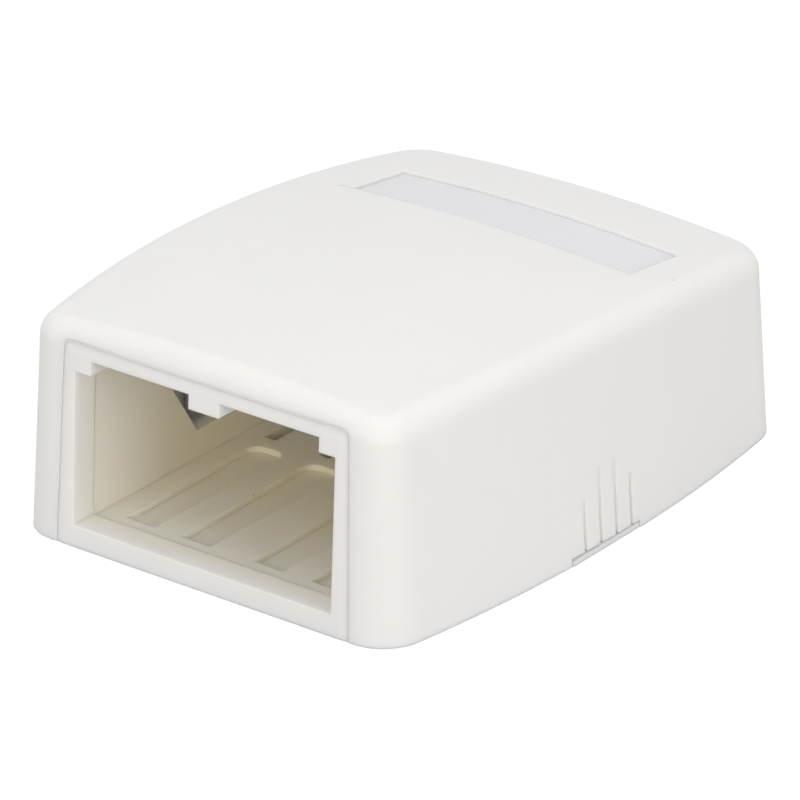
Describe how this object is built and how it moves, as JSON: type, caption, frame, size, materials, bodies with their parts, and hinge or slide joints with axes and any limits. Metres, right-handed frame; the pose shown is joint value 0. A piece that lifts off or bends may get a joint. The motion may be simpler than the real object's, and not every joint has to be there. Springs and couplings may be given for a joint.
{
  "type": "surface mount jack box",
  "caption": "Low domed plastic box that fixes to a wall or desk and holds snap-in data jacks side by side in its front opening, with a lift-off cover and a label bed in the roof.",
  "frame": {"origin": "middle of the box's overall outline, on the flat underside that goes against the wall or desk", "axes": "+Z out of the mounting surface towards the domed roof, -Y out of the jack opening, +Y towards the plain rear wall, X across the jacks"},
  "size_m": [0.0478, 0.0603, 0.0224],
  "materials": {
    "base": "fine-textured off-white moulded plastic",
    "cover": "fine-textured off-white moulded plastic",
    "label_paper": "plain white paper",
    "label_window": "thin clear satin plastic sheet"
  },
  "bodies": {
    "base": {"base": "base"},
    "cover": {"cover": "cover", "label_strip": "label_paper", "label_window": "label_window"}
  },
  "joints": [
    {"name": "cover_lift", "type": "slide", "parent": "base", "child": "cover", "axis": [0, 0, 1], "range_m": [0, 0.03]}
  ]
}
